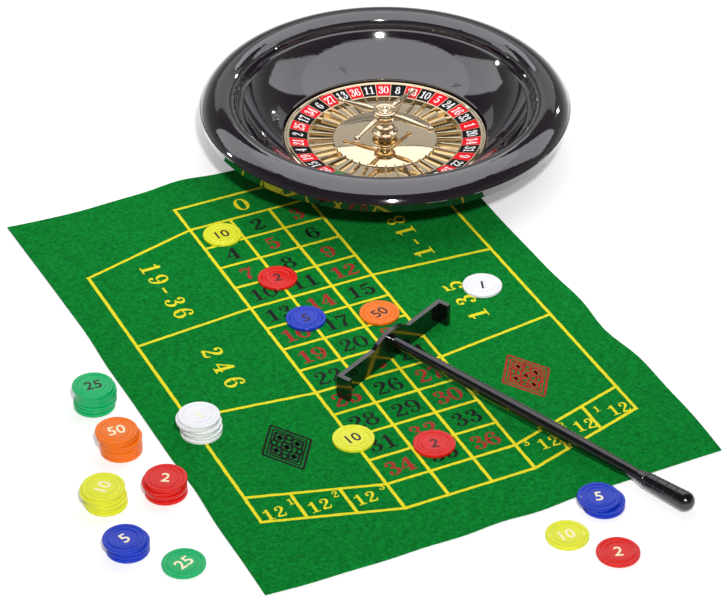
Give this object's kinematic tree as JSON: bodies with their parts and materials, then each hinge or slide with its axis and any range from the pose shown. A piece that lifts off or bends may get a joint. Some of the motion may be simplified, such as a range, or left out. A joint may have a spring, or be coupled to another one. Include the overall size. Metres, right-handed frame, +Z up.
{
  "type": "tabletop roulette set",
  "caption": "Roulette set laid out for play: bowl with spinning rotor and turret, printed felt layout, rake, and betting chips in stacks and singles.",
  "frame": {"origin": "middle of the felt's underside, on the table", "axes": "+X across the felt's number columns, +Y along the felt towards the wheel, +Z up"},
  "size_m": [0.4556, 0.5764, 0.0477],
  "materials": {
    "felt": "green wool felt, printed",
    "bowl_plastic": "glossy black moulded plastic",
    "cover_plastic": "matt black moulded plastic",
    "screw_steel": "zinc-plated steel",
    "foot_rubber": "matt rubber",
    "spindle_steel": "turned steel",
    "washer_nylon": "natural nylon",
    "gold_plating": "polished gold plating",
    "number_print": "red and black print under gloss lacquer",
    "bush_brass": "turned brass",
    "rake_plastic": "glossy black moulded plastic",
    "chip_white": "satin white plastic",
    "chip_green": "satin green plastic",
    "chip_orange": "satin orange plastic",
    "chip_yellow": "satin yellow plastic",
    "chip_red": "satin red plastic",
    "chip_blue": "satin blue plastic"
  },
  "bodies": {
    "felt": {"layout_felt": "felt"},
    "wheel": {"bowl": "bowl_plastic", "base_cover": "cover_plastic", "base_screws": "screw_steel", "rubber_feet": "foot_rubber", "spindle": "spindle_steel", "thrust_washer": "washer_nylon", "deflectors": "bowl_plastic"},
    "rotor": {"rotor_pan": "cover_plastic", "pocket_ring": "gold_plating", "number_ring": "number_print", "number_trim": "gold_plating", "rotor_cone": "gold_plating", "rotor_bush": "bush_brass", "turret_column": "gold_plating", "turret_hub": "gold_plating", "turret_arms": "gold_plating", "turret_cap": "gold_plating"},
    "rake": {"rake_blade": "rake_plastic", "rake_rod": "rake_plastic", "rake_grip": "rake_plastic"},
    "white_stack": {"stack_white": "chip_white"},
    "green_stack": {"stack_green": "chip_green"},
    "orange_stack": {"stack_orange": "chip_orange"},
    "yellow_stack": {"stack_yellow": "chip_yellow"},
    "red_stack": {"stack_red": "chip_red"},
    "blue_stack": {"stack_blue": "chip_blue"},
    "blue_pile": {"pile_blue": "chip_blue"},
    "top_yellow_chip": {"chip_yellow_top": "chip_yellow"},
    "low_yellow_chip": {"chip_yellow_low": "chip_yellow"},
    "table_yellow_chip": {"chip_yellow_table": "chip_yellow"},
    "top_red_chip": {"chip_red_top": "chip_red"},
    "low_red_chip": {"chip_red_low": "chip_red"},
    "table_red_chip": {"chip_red_table": "chip_red"},
    "blue_chip": {"chip_blue": "chip_blue"},
    "orange_chip": {"chip_orange": "chip_orange"},
    "white_chip": {"chip_white": "chip_white"},
    "table_green_chip": {"chip_green_table": "chip_green"}
  },
  "joints": [
    {"name": "wheel_lift", "type": "slide", "parent": "felt", "child": "wheel", "axis": [0, 0, 1], "range_m": [0, 0.06]},
    {"name": "rotor_spin", "type": "hinge", "parent": "wheel", "child": "rotor", "pos_m": [0.115, 0.1795, 0.01], "axis": [0, 0, 1], "continuous": true},
    {"name": "rake_lift", "type": "slide", "parent": "felt", "child": "rake", "axis": [0, 0, 1], "range_m": [0, 0.06]},
    {"name": "white_stack_lift", "type": "slide", "parent": "felt", "child": "white_stack", "axis": [0, 0, 1], "range_m": [0, 0.05]},
    {"name": "green_stack_lift", "type": "slide", "parent": "felt", "child": "green_stack", "axis": [0, 0, 1], "range_m": [0, 0.05]},
    {"name": "orange_stack_lift", "type": "slide", "parent": "felt", "child": "orange_stack", "axis": [0, 0, 1], "range_m": [0, 0.05]},
    {"name": "yellow_stack_lift", "type": "slide", "parent": "felt", "child": "yellow_stack", "axis": [0, 0, 1], "range_m": [0, 0.05]},
    {"name": "red_stack_lift", "type": "slide", "parent": "felt", "child": "red_stack", "axis": [0, 0, 1], "range_m": [0, 0.05]},
    {"name": "blue_stack_lift", "type": "slide", "parent": "felt", "child": "blue_stack", "axis": [0, 0, 1], "range_m": [0, 0.05]},
    {"name": "blue_pile_lift", "type": "slide", "parent": "felt", "child": "blue_pile", "axis": [0, 0, 1], "range_m": [0, 0.05]},
    {"name": "top_yellow_chip_lift", "type": "slide", "parent": "felt", "child": "top_yellow_chip", "axis": [0, 0, 1], "range_m": [0, 0.05]},
    {"name": "low_yellow_chip_lift", "type": "slide", "parent": "felt", "child": "low_yellow_chip", "axis": [0, 0, 1], "range_m": [0, 0.05]},
    {"name": "table_yellow_chip_lift", "type": "slide", "parent": "felt", "child": "table_yellow_chip", "axis": [0, 0, 1], "range_m": [0, 0.05]},
    {"name": "top_red_chip_lift", "type": "slide", "parent": "felt", "child": "top_red_chip", "axis": [0, 0, 1], "range_m": [0, 0.05]},
    {"name": "low_red_chip_lift", "type": "slide", "parent": "felt", "child": "low_red_chip", "axis": [0, 0, 1], "range_m": [0, 0.05]},
    {"name": "table_red_chip_lift", "type": "slide", "parent": "felt", "child": "table_red_chip", "axis": [0, 0, 1], "range_m": [0, 0.05]},
    {"name": "blue_chip_lift", "type": "slide", "parent": "felt", "child": "blue_chip", "axis": [0, 0, 1], "range_m": [0, 0.05]},
    {"name": "orange_chip_lift", "type": "slide", "parent": "felt", "child": "orange_chip", "axis": [0, 0, 1], "range_m": [0, 0.05]},
    {"name": "white_chip_lift", "type": "slide", "parent": "felt", "child": "white_chip", "axis": [0, 0, 1], "range_m": [0, 0.05]},
    {"name": "table_green_chip_lift", "type": "slide", "parent": "felt", "child": "table_green_chip", "axis": [0, 0, 1], "range_m": [0, 0.05]}
  ]
}
